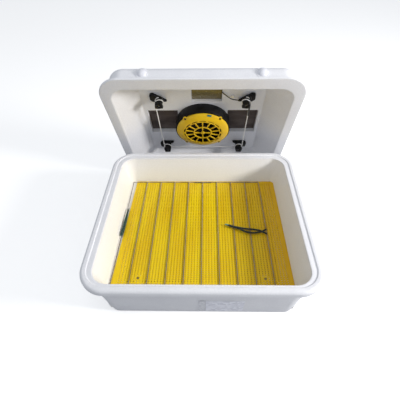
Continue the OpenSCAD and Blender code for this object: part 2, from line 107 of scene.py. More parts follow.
def to_object(name, bm, material, sharp=40):
    """A named object from a bmesh, smooth but for the edges sharper than sharp degrees."""
    bmesh.ops.recalc_face_normals(bm, faces=bm.faces)
    mesh = bpy.data.meshes.new(name)
    bm.to_mesh(mesh)
    bm.free()
    piece = bpy.data.objects.new(name, mesh)
    bpy.context.scene.collection.objects.link(piece)
    if material:
        mesh.materials.append(material)
    shade(mesh, sharp)
    return piece


def shade(mesh, sharp):
    mesh.polygons.foreach_set("use_smooth", [True] * len(mesh.polygons))
    mesh.set_sharp_from_angle(angle=math.radians(sharp))


def apply_modifiers(piece):
    graph = bpy.context.evaluated_depsgraph_get()
    mesh = bpy.data.meshes.new_from_object(piece.evaluated_get(graph))
    piece.modifiers.clear()
    piece.data = mesh


def carve(piece, cutters, operation="DIFFERENCE"):
    """Cuts the cutters from the piece, or joins them to it, and removes them."""
    for cutter in cutters:
        step = piece.modifiers.new("carve", "BOOLEAN")
        step.operation = operation
        step.solver = "EXACT"
        step.object = cutter
    apply_modifiers(piece)
    for cutter in cutters:
        bpy.data.objects.remove(cutter)


def weighted(piece):
    step = piece.modifiers.new("normals", "WEIGHTED_NORMAL")
    step.keep_sharp = True
    return piece


def rounded_ring(w, d, r, z, corner=14, side=8):
    """Points around a rounded rectangle at height z: arcs at the corners, even steps between."""
    arcs = []
    for k, (sx, sy) in enumerate(((1, 1), (-1, 1), (-1, -1), (1, -1))):
        centre = Vector((sx * (w / 2 - r), sy * (d / 2 - r), z))
        turn = [math.pi / 2 * (k + i / corner) for i in range(corner + 1)]
        arcs.append([centre + Vector((r * math.cos(a), r * math.sin(a), 0)) for a in turn])
    points = []
    for k, arc in enumerate(arcs):
        points += arc
        after = arcs[(k + 1) % 4][0]
        points += [arc[-1].lerp(after, i / side) for i in range(1, side)]
    return points


def loft(name, rings, material, sharp=40):
    """A closed skin through rings of equal length, capped at the first and the last."""
    bm = bmesh.new()
    loops = [[bm.verts.new(p) for p in ring] for ring in rings]
    for a, b in zip(loops, loops[1:]):
        for i in range(len(a)):
            j = (i + 1) % len(a)
            bm.faces.new((a[i], a[j], b[j], b[i]))
    bm.faces.new(loops[0])
    bm.faces.new(loops[-1])
    return to_object(name, bm, material, sharp)


def thicken(bm, moved):
    """Extrudes the open sheet in bm, putting each new point where moved says, and tidies up."""
    skin = bmesh.ops.extrude_face_region(bm, geom=bm.faces[:])
    for item in skin["geom"]:
        if isinstance(item, bmesh.types.BMVert):
            item.co = moved(item.co)
    bmesh.ops.delete(bm, geom=[v for v in bm.verts if not v.link_faces], context="VERTS")


def block(name, lo, hi, material=None, edge=0.0):
    """A box between two corners, with rounded edges where edge is given."""
    bm = bmesh.new()
    bmesh.ops.create_cube(bm, size=1)
    lo, hi = Vector(lo), Vector(hi)
    for v in bm.verts:
        v.co = Vector(lo[k] + (v.co[k] + 0.5) * (hi[k] - lo[k]) for k in range(3))
    if edge:
        bmesh.ops.bevel(bm, geom=bm.edges[:], offset=edge, segments=3, profile=0.5, affect="EDGES")
    return to_object(name, bm, material)


def prism(name, outline, z0, z1, edge):
    """An upright prism over a polygon of (x, y) corners, with rounded edges."""
    bm = bmesh.new()
    bm.faces.new([bm.verts.new((x, y, z0)) for x, y in outline])
    thicken(bm, lambda co: Vector((co.x, co.y, z1)))
    bmesh.ops.recalc_face_normals(bm, faces=bm.faces)
    bmesh.ops.bevel(bm, geom=bm.edges[:], offset=edge, segments=4, profile=0.5, affect="EDGES")
    return to_object(name, bm, None)


def rod(name, start, end, r, material=None, sides=32):
    return tube(name, [Vector(start), Vector(end)], r, material, sides)


def smooth_path(points, step):
    """Catmull-Rom path through the points, with a point about every step."""
    points = [Vector(p) for p in points]
    padded = [2 * points[0] - points[1]] + points + [2 * points[-1] - points[-2]]
    path = []
    for a, b, c, d in zip(padded, padded[1:], padded[2:], padded[3:]):
        count = max(2, round((c - b).length / step))
        for i in range(count):
            t = i / count
            path.append(
                0.5 * (2 * b + (c - a) * t + (2 * a - 5 * b + 4 * c - d) * t * t
                       + (3 * b - a - 3 * c + d) * t ** 3)
            )
    return path + [points[-1]]


def path_frames(path):
    """A pair of cross directions at each point, carried along the path without twist."""
    frames = []
    side = None
    for i, p in enumerate(path):
        ahead = (path[min(i + 1, len(path) - 1)] - path[max(i - 1, 0)]).normalized()
        if side is None:
            side = ahead.orthogonal()
        side = (side - ahead * side.dot(ahead)).normalized()
        frames.append((side.copy(), ahead.cross(side)))
    return frames


def tube(name, path, r, material, sides=12):
    """A round tube along a path; r is a radius or a function of the 0 to 1 place along it."""
    radius = r if callable(r) else lambda t: r
    rings = []
    for i, (p, (u, v)) in enumerate(zip(path, path_frames(path))):
        here = radius(i / (len(path) - 1))
        angles = [2 * math.pi * k / sides for k in range(sides)]
        rings.append([p + here * (u * math.cos(a) + v * math.sin(a)) for a in angles])
    return loft(name, rings, material)


def merge(name, parts):
    """One object from several, keeping their materials."""
    bm = bmesh.new()
    materials = []
    for part in parts:
        for m in part.data.materials:
            if m not in materials:
                materials.append(m)
    for part in parts:
        start = len(bm.faces)
        bm.from_mesh(part.data)
        bm.faces.ensure_lookup_table()
        index = materials.index(part.data.materials[0]) if part.data.materials else 0
        for face in bm.faces[start:]:
            face.material_index = index
    mesh = bpy.data.meshes.new(name)
    bm.to_mesh(mesh)
    bm.free()
    for m in materials:
        mesh.materials.append(m)
    piece = bpy.data.objects.new(name, mesh)
    bpy.context.scene.collection.objects.link(piece)
    for part in parts:
        bpy.data.objects.remove(part)
    return piece


def place(piece, body, slot, *stands_for, on_lid=False):
    """Puts a finished piece on its body, in place of CAD nodes; slot is not used."""
    if on_lid:
        piece.data.transform(ON_LID)
    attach(piece, body)
    if stands_for:
        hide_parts(*stands_for)
    return piece


# ---- materials ----


class Look:
    """A procedural material under construction: node shortcuts around one Principled shader."""

    def __init__(self, name, roughness, metallic=0.0):
        self.material = bpy.data.materials.new(name)
        self.material.use_nodes = True
        self.tree = self.material.node_tree
        self.shader = self.tree.nodes["Principled BSDF"]
        self.set("Roughness", roughness)
        self.set("Metallic", metallic)
        self.place = self.node("ShaderNodeTexCoord").outputs["Object"]

    def set(self, key, value):
        self.shader.inputs[key].default_value = value

    def link(self, source, target):
        self.tree.links.new(source, target)

    def node(self, kind, **inputs):
        made = self.tree.nodes.new(kind)
        for key, value in inputs.items():
            made.inputs[key.replace("_", " ")].default_value = value
        return made

    def noise(self, size, detail=3.0, stretch=(1, 1, 1)):
        """Noise from 0 to 1 whose features are about size metres across."""
        scaled = self.node("ShaderNodeMapping", Scale=stretch)
        self.link(self.place, scaled.inputs["Vector"])
        made = self.node("ShaderNodeTexNoise", Scale=1 / size, Detail=detail)
        self.link(scaled.outputs["Vector"], made.inputs["Vector"])
        return made.outputs["Fac"]

    def cells(self, size, feature="F1", output="Distance"):
        made = self.tree.nodes.new("ShaderNodeTexVoronoi")
        made.feature = feature
        made.inputs["Scale"].default_value = 1 / size
        self.link(self.place, made.inputs["Vector"])
        return made.outputs[output]

    def ramp(self, value, low, high, a=0.0, b=1.0):
        """Maps value from a..b to low..high, clamped."""
        made = self.node("ShaderNodeMapRange")
        for key, number in (("From Min", a), ("From Max", b), ("To Min", low), ("To Max", high)):
            made.inputs[key].default_value = number
        self.link(value, made.inputs["Value"])
        return made.outputs["Result"]

    def mix(self, fac, a, b):
        """Mixes colours a and b; each is a colour or a socket."""
        made = self.tree.nodes.new("ShaderNodeMix")
        made.data_type = "RGBA"
        for socket, colour in ((made.inputs[6], a), (made.inputs[7], b)):
            if isinstance(colour, tuple):
                socket.default_value = (*colour, 1)
            else:
                self.link(colour, socket)
        self.link(fac, made.inputs[0])
        return made.outputs[2]

    def colour(self, source):
        if isinstance(source, tuple):
            self.set("Base Color", (*source, 1))
        else:
            self.link(source, self.shader.inputs["Base Color"])

    def rough(self, value):
        self.link(value, self.shader.inputs["Roughness"])

    def bump(self, height, depth, strength=1.0):
        """Adds surface relief depth metres deep, over any relief added before."""
        made = self.node("ShaderNodeBump", Strength=strength, Distance=depth)
        self.link(height, made.inputs["Height"])
        before = self.shader.inputs["Normal"]
        if before.is_linked:
            self.link(before.links[0].from_socket, made.inputs["Normal"])
        self.link(made.outputs["Normal"], before)


def foam_look(name, painted_warm_shade=None):
    """Moulded bead foam: fused beads and faint blotches; the plain tones carry a faint painted blue of
    shade, and the copy for the hollow is whiter, with painted warm shade low down inside.
    """
    look = Look(name, 0.55)
    bead = look.cells(0.0042)
    # painted shade: the plain tones carry a faint blue, while the hollow's copy is whiter and neutral
    light, dark, seam = (0.83, 0.835, 0.865), (0.78, 0.785, 0.82), (0.70, 0.70, 0.73)
    if painted_warm_shade:
        light, dark, seam = (0.86, 0.86, 0.865), (0.83, 0.83, 0.83), (0.76, 0.75, 0.74)
    tint = look.mix(look.ramp(look.noise(0.09), 0, 1, 0.35, 0.7), light, dark)
    # painted warm shade: the hollow's foam turns warmer towards its floor
    if painted_warm_shade:
        height = look.node("ShaderNodeSeparateXYZ")
        look.link(look.place, height.inputs[0])
        tint = look.mix(look.ramp(height.outputs["Z"], 1, 0, 0.11, 0.17), tint, painted_warm_shade)
    look.colour(look.mix(look.ramp(bead, 0, 0.22, 0.35, 0.75), tint, seam))
    look.rough(look.ramp(look.noise(0.012), 0.42, 0.62))
    look.bump(look.noise(0.05, 1), 0.0012, 0.35)
    look.bump(look.ramp(bead, 1, 0, 0.1, 0.9), 0.0003, 0.5)
    return look.material


def plastic_look(name, light, dark, roughness, grain=0.0006, patch=0.05, depth=0.00006, shine=0.5):
    """Moulded plastic: two close tones in soft patches, fine grain, uneven gloss."""
    look = Look(name, roughness)
    look.colour(look.mix(look.ramp(look.noise(patch), 0, 1, 0.3, 0.7), light, dark))
    look.rough(look.ramp(look.noise(patch / 4), roughness - 0.06, roughness + 0.08))
    look.bump(look.noise(grain, 1), depth, 0.6)
    look.set("Specular IOR Level", shine)
    return look.material


def sheet_look():
    """Yellow floor sheet: golden streaks along the sheet, slight dirt, and painted shade that deepens the
    colour towards its right.
    """
    look = Look("yellow_sheet", 0.34)
    streak = look.noise(0.10, 2, (3.2, 0.5, 1))
    tone = look.mix(look.ramp(streak, 0, 1, 0.35, 0.65), (0.83, 0.60, 0.006), (0.74, 0.49, 0.004))
    tone = look.mix(look.ramp(look.noise(0.018, 4), 0, 0.35, 0.55, 0.8), tone, (0.60, 0.34, 0.01))
    # painted shade: the colour deepens towards the right, where the right wall's shadow falls on the sheet
    across = look.node("ShaderNodeSeparateXYZ")
    look.link(look.place, across.inputs[0])
    painted_shade_right = look.ramp(across.outputs["X"], 0, 0.75, 0.04, 0.24)
    look.colour(look.mix(painted_shade_right, tone, (0.62, 0.33, 0.004)))
    look.rough(look.ramp(look.noise(0.02), 0.26, 0.44))
    look.set("Specular IOR Level", 0.3)
    look.bump(look.noise(0.03, 1), 0.0004, 0.4)
    return look.material


def steel_look(name, light, dark, roughness, stain=None):
    """Drawn or plated steel: fine scratches, with an optional brown stain in patches."""
    look = Look(name, roughness, 0.9)
    tone = look.mix(look.noise(0.004, 4), light, dark)
    if stain:
        tone = look.mix(look.ramp(look.noise(0.02, 4), 0, 0.8, 0.5, 0.7), tone, stain)
    look.colour(tone)
    look.rough(look.ramp(look.noise(0.002, 3), roughness - 0.08, roughness + 0.14))
    look.bump(look.noise(0.0008, 2), 0.00005, 0.5)
    return look.material


def pane_look():
    """Smoked clear sheet, scuffed, with faint streaks."""
    look = Look("smoked_pane", 0.12)
    streak = look.noise(0.03, 3, (0.4, 3, 1))
    look.colour(look.mix(look.ramp(streak, 0, 1, 0.35, 0.7), (0.075, 0.058, 0.052), (0.13, 0.105, 0.095)))
    look.rough(look.ramp(look.noise(0.004, 4), 0.22, 0.42))
    look.set("Specular IOR Level", 0.18)
    return look.material


def cover_look():
    """Brown hardboard cover under a glossy film."""
    look = Look("brown_cover", 0.22)
    fibre = look.noise(0.0025, 5, (0.3, 2, 1))
    look.colour(look.mix(look.ramp(fibre, 0, 1, 0.3, 0.7), (0.15, 0.125, 0.05), (0.24, 0.20, 0.10)))
    look.rough(look.ramp(look.noise(0.008), 0.14, 0.36))
    look.bump(fibre, 0.00008, 0.6)
    look.set("Coat Weight", 0.4)
    return look.material


def board_look():
    """Green circuit board with copper tracks under the resist."""
    look = Look("circuit_board", 0.35)
    track = look.cells(0.006, "DISTANCE_TO_EDGE")
    look.colour(look.mix(look.ramp(track, 1, 0, 0.02, 0.06), (0.006, 0.07, 0.03), (0.02, 0.16, 0.06)))
    look.bump(look.ramp(track, 1, 0, 0.02, 0.06), 0.00005, 0.8)
    return look.material


def lens_look():
    """Dark red display window."""
    look = Look("red_lens", 0.10)
    look.colour(look.mix(look.noise(0.01), (0.10, 0.004, 0.004), (0.17, 0.008, 0.006)))
    look.rough(look.ramp(look.noise(0.003), 0.05, 0.18))
    look.set("Coat Weight", 0.8)
    return look.material


def weave_look(name, light, dark, size=0.0011, roughness=0.75):
    """Braided or twisted fibre."""
    look = Look(name, roughness)
    thread = look.cells(size)
    look.colour(look.mix(look.ramp(thread, 0, 1, 0.1, 0.7), light, dark))
    look.bump(look.ramp(thread, 1, 0, 0, 0.8), 0.0003, 0.8)
    look.set("Sheen Weight", 0.25)
    return look.material


def paper_look(name, light, dark, line=None, pitch=0.011):
    """Thin paper: fibres, creases and, with line, plain ruled rows that carry no lettering."""
    look = Look(name, 0.6)
    tone = look.mix(look.noise(0.02, 4), light, dark)
    if line:
        wave = look.node("ShaderNodeTexWave", Scale=0.05 * 2 * math.pi / pitch, Distortion=0.6)
        wave.bands_direction = "Z"
        look.link(look.place, wave.inputs["Vector"])
        broken = look.ramp(look.noise(0.006, 2, (0.5, 1, 1)), 0, 1, 0.45, 0.55)
        rows = look.ramp(wave.outputs["Fac"], 0, 0.8, 0.60, 0.85)
        both = look.node("ShaderNodeMath")
        both.operation = "MULTIPLY"
        look.link(rows, both.inputs[0])
        look.link(broken, both.inputs[1])
        tone = look.mix(both.outputs[0], tone, line)
    look.colour(tone)
    look.bump(look.noise(0.004, 3), 0.0002, 0.5)
    return look.material


def tape_look():
    """Clear packing tape over foam: greyish, glossy, with air bubbles."""
    look = Look("clear_tape", 0.18)
    bubble = look.noise(0.006, 4)
    look.colour(look.mix(look.ramp(bubble, 0, 1, 0.4, 0.6), (0.60, 0.61, 0.66), (0.74, 0.75, 0.79)))
    look.bump(bubble, 0.0003, 0.6)
    look.set("Coat Weight", 0.5)
    return look.material


foam = foam_look("eps_foam")
# the hollow's foam: a whiter copy with painted warm shade low down
painted_shade_foam = foam_look("eps_foam_inside_painted_shade", (0.84, 0.825, 0.77))
yellow_sheet = sheet_look()
yellow_plastic = plastic_look("yellow_plastic", (0.80, 0.53, 0.012), (0.70, 0.43, 0.01), 0.36)
dull_brass = steel_look("dull_brass", (0.34, 0.25, 0.09), (0.22, 0.15, 0.05), 0.5)
steel_wire = steel_look("steel_wire", (0.38, 0.34, 0.33), (0.26, 0.23, 0.22), 0.46, (0.22, 0.15, 0.11))
black_steel = steel_look("black_steel", (0.045, 0.042, 0.04), (0.02, 0.02, 0.02), 0.4)
zinc_steel = steel_look("zinc_steel", (0.62, 0.62, 0.62), (0.48, 0.47, 0.45), 0.32)
black_plastic = plastic_look("black_plastic", (0.004, 0.004, 0.004), (0.008, 0.008, 0.009), 0.42, shine=0.2)
grey_plastic = plastic_look("grey_plastic", (0.18, 0.18, 0.19), (0.14, 0.14, 0.15), 0.42)
white_plastic = plastic_look("white_plastic", (0.82, 0.82, 0.82), (0.74, 0.74, 0.73), 0.38)
pale_plastic = plastic_look("pale_plastic", (0.78, 0.79, 0.84), (0.70, 0.70, 0.75), 0.30)
red_plastic = plastic_look("red_plastic", (0.48, 0.02, 0.015), (0.38, 0.015, 0.012), 0.30)
smoked_pane = pane_look()
brown_cover = cover_look()
circuit_board = board_look()
red_lens = lens_look()
cord_green = weave_look("cord_braid", (0.003, 0.085, 0.062), (0.001, 0.022, 0.017))
cord_dark = weave_look("cord_dark", (0.004, 0.022, 0.015), (0.001, 0.005, 0.004))
cord_tip = weave_look("cord_tip", (0.24, 0.42, 0.36), (0.10, 0.24, 0.18))
silicone_cord = plastic_look("silicone_cord", (0.84, 0.83, 0.82), (0.74, 0.73, 0.71), 0.45)
black_cable = plastic_look("black_cable", (0.010, 0.010, 0.010), (0.025, 0.024, 0.024), 0.45)
label_paper = paper_look("label_paper", (0.92, 0.93, 0.98), (0.85, 0.86, 0.94), (0.42, 0.42, 0.50))
ivory_paper = paper_look("ivory_paper", (0.78, 0.74, 0.62), (0.66, 0.62, 0.50))
clear_tape = tape_look()
teal_tape = plastic_look("teal_tape", (0.01, 0.20, 0.22), (0.005, 0.13, 0.15), 0.35)


# ---- tub ----


def arc_profile(inset, z, r, start, end, count=6):
    """Points of an edge rounding in (inset, height): centre, radius and angles in degrees."""
    angles = [math.radians(start + (end - start) * i / count) for i in range(count + 1)]
    return [(inset + r * math.cos(a), z + r * math.sin(a)) for a in angles]


def tub_outer_profile():
    """The outside from the underside up over the rim, as (inset from the rim, height)."""
    lip_z = TUB_H - LIP_H
    foot = LIP_OUT + WALL_DRAFT * lip_z
    r_foot, r_lip, r_top = 0.005, 0.003, 0.009
    profile = [(foot + 0.030, 0.0)]
    profile += arc_profile(foot + r_foot, r_foot, r_foot, 270, 180, 4)
    profile += [(foot - WALL_DRAFT * z, z) for z in (0.02, 0.06, 0.11, 0.15, lip_z - 0.004)]
    profile += [(LIP_OUT - 0.0012, lip_z - 0.0008), (LIP_OUT - 0.004, lip_z)]
    profile += arc_profile(r_lip, lip_z + r_lip, r_lip, 270, 180, 4)
    profile += arc_profile(r_top, TUB_H - r_top, r_top, 180, 90, 8)
    profile += [(0.0145, TUB_H), (0.0156, TUB_H - GROOVE * 0.12), (0.0166, TUB_H - GROOVE * 0.55)]
    profile += [(0.0176, TUB_H - GROOVE), (0.0186, TUB_H - GROOVE)]
    return profile


def mouth_ring(w, d, r, z, y=MOUTH_Y):
    """A rounded ring about a centre that lies off the tub's by y."""
    return [p + Vector((0, y, 0)) for p in rounded_ring(w, d, r, z)]


def tub_rings():
    rings = []
    for inset, z in tub_outer_profile():
        rings.append(rounded_ring(RIM_W - 2 * inset, RIM_D - 2 * inset, max(RIM_R - inset, 0.010), z))
    for out, drop in ((0.0030, 0.75), (0.0010, 0.85), (0.0, 1.1)):
        rings.append(mouth_ring(MOUTH_W + 2 * out, MOUTH_D + 2 * out, MOUTH_R + out, TUB_H - GROOVE * drop))
    mouth = (MOUTH_W - 0.002, MOUTH_D - 0.002, MOUTH_R - 0.001, TUB_H - 0.007, MOUTH_Y)
    floor = (HOLLOW_W, HOLLOW_D, HOLLOW_R, FLOOR_Z, 0)
    for t in (0, 0.12, 0.35, 0.6, 0.85, 1):
        rings.append(mouth_ring(*[a + (b - a) * t for a, b in zip(mouth, floor)]))
    rings.append(rounded_ring(HOLLOW_W - 0.001, HOLLOW_D - 0.001, HOLLOW_R, LEDGE_Z))
    rings.append(rounded_ring(PIT_W, PIT_D, PIT_R, LEDGE_Z))
    rings.append(rounded_ring(PIT_W, PIT_D, PIT_R, PIT_Z + 0.004))
    rings.append(rounded_ring(PIT_W - 0.008, PIT_D - 0.008, PIT_R, PIT_Z))
    return rings


def tub_body():
    tub = loft("tub_body", tub_rings(), foam)
    clip_z = sum(p.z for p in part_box("bail_clips")) / 2
    back = PAD_Y - PAD_DEPTH
    low, high = MOTOR_PAD_Z
    pads = [block("pad", (-MOTOR_PAD_X, back, low), (MOTOR_PAD_X, PAD_Y, high), edge=0.002)]
    pillars = []
    for side in (-1, 1):
        near, far = side * BOLT_X - CLIP_PAD_X, side * BOLT_X + CLIP_PAD_X
        low, high = clip_z - CLIP_PAD_Z, clip_z + CLIP_PAD_Z
        pads.append(block("pad", (near, back, low), (far, PAD_Y, high), edge=0.002))
        lean = Vector((side, -1, 0)).normalized()
        corner = Vector((side * (RIM_W / 2 - RIM_R), RIM_R - RIM_D / 2, MARK_Z))
        pads.append(rod("mark", corner + lean * 0.026, corner + lean * 0.0366, MARK_R))
        foot = (side * PILLAR_X, PILLAR_Y, PIT_Z - 0.004)
        pillars.append(rod("pillar", foot, (side * PILLAR_X, PILLAR_Y, LEDGE_Z), PILLAR_R))
    carve(tub, pads + pillars, "UNION")
    low = (-POCKET_X, PIT_D / 2 - 0.002, PIT_Z + 0.001)
    pocket = block("pocket", low, (POCKET_X, POCKET_Y, LEDGE_Z - 0.0005))
    low = (-YOKE_SLOT_X, YOKE_SLOT_Y[0], LEDGE_Z - 0.006)
    slot = block("slot", low, (YOKE_SLOT_X, YOKE_SLOT_Y[1], LEDGE_Z + 0.001))
    carve(tub, [pocket, slot])
    shade(tub.data, 40)
    paint_hollow_shade(tub)
    place(weighted(tub), "tub", "eps_foam", "base_tub")


def paint_hollow_shade(tub):
    """Gives the hollow's faces the whiter copy of the foam, with painted warm shade low down."""
    tub.data.materials.append(painted_shade_foam)
    for face in tub.data.polygons:
        x, y, z = face.center
        inside = abs(x) < MOUTH_W / 2 and abs(y - MOUTH_Y) < MOUTH_D / 2
        if inside and PIT_Z - 0.001 < z < TUB_H - 0.006 and face.normal.dot((x, y, 0)) <= 0.0001:
            face.material_index = 1


def floor_sheet():
    """The egg floor: a thin sheet with a small hole in each cell of a fine grid."""
    pitch_x, pitch_y = 0.050 / 6, 0.0065
    hole_x, hole_y = 0.0027, 0.0025
    slot_x, slot_y = 0.031, (0.2025, 0.2075)
    screws = [Vector((side * PILLAR_X, PILLAR_Y, 0)) for side in (-1, 1)]
    left_rear, right = -0.238, floor_hi.x
    front, rear = floor_lo.y, floor_hi.y
    columns = [-0.250 + pitch_x * (i + 0.5) for i in range(2, 59)]
    rows = [pitch_y * i for i in range(-31, 31)]
    xs = [left_rear] + [x for c in columns for x in (c - hole_x / 2, c + hole_x / 2)] + [right]
    ys = [front] + [y for c in rows for y in (c - hole_y / 2, c + hole_y / 2)] + [*slot_y, rear]

    def corner(x, y):
        """A grid point, with the left edge slanting outwards to the front and a slight sag."""
        if x == left_rear:
            x += (floor_lo.x - left_rear) * (rear - y) / (rear - front)
        return Vector((x, y, FLOOR_Z - 0.0003 + 0.0002 * math.sin(x * 31 + 1) * math.sin(y * 23 + 2)))

    def solid(i, j):
        x, y = (xs[i] + xs[i + 1]) / 2, (ys[j] + ys[j + 1]) / 2
        if slot_y[0] < y < slot_y[1]:
            return abs(x) > slot_x
        near_screw = min((Vector((x, y, 0)) - s).length for s in screws) < 0.0075
        return near_screw or not (i % 2 and j % 2 and j < 2 * len(rows))

    bm = bmesh.new()
    grid = [[bm.verts.new(corner(x, y)) for y in ys] for x in xs]
    for i in range(len(xs) - 1):
        for j in range(len(ys) - 1):
            if solid(i, j):
                bm.faces.new((grid[i][j], grid[i + 1][j], grid[i + 1][j + 1], grid[i][j + 1]))
    thicken(bm, lambda co: Vector((co.x, co.y, LEDGE_Z + 0.0001)))
    sheet = to_object("sheet", bm, yellow_sheet, 30)
    ribs = []
    for x in (-0.150, -0.050, 0.050, 0.150):
        low = (x - 0.0012, -0.180, LEDGE_Z - 0.009)
        ribs.append(block("rib", low, (x + 0.0012, 0.180, LEDGE_Z + 0.0002), yellow_sheet))
    place(merge("floor_sheet", [sheet] + ribs), "tub", "yellow_plastic", "floor_grid")


def wall_y(z):
    """The front wall's surface at height z."""
    return -(RIM_D / 2 - LIP_OUT - WALL_DRAFT * (TUB_H - LIP_H - z))


def wall_sheet(name, node, material, slot, crease, seed, raised):
    """A thin creased sheet stuck to the front wall over the box of its CAD node."""
    lo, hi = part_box(node)
    dice = random.Random(seed)
    waves = [(dice.uniform(60, 220), dice.uniform(40, 160), dice.uniform(0, 6)) for _ in range(5)]
    bm = bmesh.new()
    nx, nz = 24, 24
    grid = []
    for i in range(nx + 1):
        column = []
        for j in range(nz + 1):
            x = lo.x + (hi.x - lo.x) * i / nx
            z = lo.z + 0.001 + (hi.z - lo.z - 0.002) * j / nz
            ripple = sum(math.sin(a * x + b * z + c) for a, b, c in waves) / len(waves)
            out = raised + crease * (0.5 + 0.5 * ripple)
            column.append(bm.verts.new((x, wall_y(z) - out, z)))
        grid.append(column)
    for i in range(nx):
        for j in range(nz):
            bm.faces.new((grid[i][j], grid[i + 1][j], grid[i + 1][j + 1], grid[i][j + 1]))
    thicken(bm, lambda co: co + Vector((0, 0.0002, 0)))
    place(to_object(name, bm, material), "tub", slot, node)


def strand_bundle(name, runs):
    """Runs of cord as (path, first radius, last radius, material), each of three strands."""
    strands = []
    for path, r_first, r_last, material in runs:
        points = smooth_path(path, 0.0015)
        frames = path_frames(points)
        for phase in range(3):
            twisted = []
            for i, (p, (u, v)) in enumerate(zip(points, frames)):
                turn = 2 * math.pi * (i * 0.0015 / 0.013 + phase / 3)
                r = r_first + (r_last - r_first) * i / (len(points) - 1)
                twisted.append(p + 0.5 * r * (u * math.cos(turn) + v * math.sin(turn)))
            strands.append(tube("strand", twisted, taper(0.56 * r_first, 0.56 * r_last), material, 8))
    return merge(name, strands)


def taper(first, last):
    """A strand radius from first to last that closes over its last few percent at both ends."""
    return lambda t: (first + (last - first) * t) * min(1, 0.35 + 14 * min(t, 1 - t))


def pull_cords():
    """Two short braided cords with split ends, tied to the turner frame."""
    z = CORD_Z
    left = [(-0.2440, 0.074, z - 0.001), (-0.2455, 0.052, z), (-0.2475, 0.018, z), (-0.2485, -0.040, z)]
    left_b = [(-0.2440, 0.050, z), (-0.2440, 0.005, z), (-0.2450, -0.026, z + 0.001)]
    runs = [(left, 0.0018, 0.0040, cord_green), (left_b, 0.0016, 0.0030, cord_green)]
    place(strand_bundle("left_cord", runs), "turner", "cord_braid", "left_pull_cord")
    tip = [(0.072, 0.008, z - 0.001), (0.084, 0.003, z)]
    spine = [(0.082, 0.0035, z), (0.096, -0.002, z), (0.112, -0.007, z), (0.124, -0.010, z)]
    upper = [(0.116, -0.006, z), (0.137, -0.011, z), (0.160, -0.013, z), (0.178, -0.018, z + 0.001),
             (0.190, -0.024, z), (0.200, -0.030, z)]
    lower = [(0.116, -0.011, z), (0.136, -0.022, z), (0.157, -0.0265, z), (0.174, -0.024, z),
             (0.186, -0.020, z - 0.001), (0.196, -0.014, z), (0.201, -0.011, z)]
    runs = [(tip, 0.0020, 0.0034, cord_tip), (spine, 0.0036, 0.0044, cord_dark)]
    runs += [(upper, 0.0030, 0.0028, cord_dark), (lower, 0.0030, 0.0028, cord_dark)]
    place(strand_bundle("right_cord", runs), "turner", "cord_braid", "right_pull_cord")


# ---- lid ----


def lid_rings():
    """The lid from its ceiling down the hollow, around the flange and up over the roof."""
    rings = [rounded_ring(CEILING_W, CEILING_D, 0.028, HOLLOW_H)]
    rings.append(rounded_ring(CEILING_W + 0.010, CEILING_D + 0.008, 0.031, HOLLOW_H - 0.0022))
    rings.append(rounded_ring(CEILING_W + 0.016, CEILING_D + 0.014, 0.034, HOLLOW_H - 0.007))
    mouth_w, mouth_d = LID_W - 2 * FLANGE_SIDE, LID_D - 2 * FLANGE_FRONT
    for back, z in ((0.006, 0.006), (0.0035, 0.003), (0.001, 0.0008), (-0.002, 0.0)):
        rings.append(rounded_ring(mouth_w - 2 * back, mouth_d - 2 * back, 0.048 - back, z))
    outer = [(0.006, 0.0), (0.002, 0.0), (0.0006, 0.0007), (0.0, 0.0022), (0.0, FLANGE_T - 0.004)]
    outer += arc_profile(0.004, FLANGE_T - 0.004, 0.004, 180, 90, 4)
    outer += [(WALL_IN - 0.003, FLANGE_T), (WALL_IN - 0.0008, FLANGE_T + 0.0008)]
    outer += [(WALL_IN, FLANGE_T + 0.003), (WALL_IN, LID_H - EDGE_R)]
    for a in range(15, 91, 15):
        turn = math.radians(a)
        outer.append(
            (WALL_IN + EDGE_R * (1 - math.cos(turn)) * 0.9, LID_H - EDGE_R + EDGE_R * math.sin(turn))
        )
    for inset, z in outer:
        rings.append(rounded_ring(LID_W - 2 * inset, LID_D - 2 * inset, LID_R - inset, z))
    return rings


def around(centre, w, d, z0, z1, edge=0.0):
    """A cutter box w by d about a point, between two heights."""
    low = (centre.x - w / 2, centre.y - d / 2, z0)
    return block("cutter", low, (centre.x + w / 2, centre.y + d / 2, z1), edge=edge)


def lid_body():
    lid = loft("lid_body", lid_rings(), foam)
    front = -LID_D / 2 + WALL_IN
    seats = []
    cutters = []
    for side in (-1, 1):
        at = Vector((side * WINDOW.x, 0, 0))
        x = side * PLUG_X
        seats.append(rod("seat", (x, front - 0.001, PLUG_Z), (x, front + 0.016, PLUG_Z), PLUG_SEAT))
        cutters.append(around(at, WINDOW_W, WINDOW_D, HOLLOW_H - 0.001, LID_H + 0.01))
        cutters.append(around(at, WINDOW_W + 0.010, WINDOW_D + 0.010, PANE_Z, LID_H + 0.01))
        cutters.append(rod("bore", (x, front - 0.010, PLUG_Z), (x, front + 0.068, PLUG_Z), PLUG_BORE))
    cutters.append(around(CONTROL, 0.098, 0.054, HOLLOW_H - 0.001, LID_H + 0.01))
    cutters.append(around(MAINS, 0.044, 0.028, LID_H - 0.015, LID_H + 0.01))
    carve(lid, seats, "UNION")
    carve(lid, cutters)
    shade(lid.data, 40)
    place(weighted(lid), "lid", "eps_foam", "lid_shell", on_lid=True)


def guard_height(r):
    """The guard's outer face at radius r: a flat grille that falls back to the rim."""
    dome = ((0, 0), (0.062, 0), (0.072, 0.002), (0.084, 0.0065), (0.0875, 0.0085), (GUARD_R, 0.010))
    for (r0, z0), (r1, z1) in zip(dome, dome[1:]):
        if r <= r1:
            return GRILLE_Z + z0 + (z1 - z0) * (r - r0) / (r1 - r0)


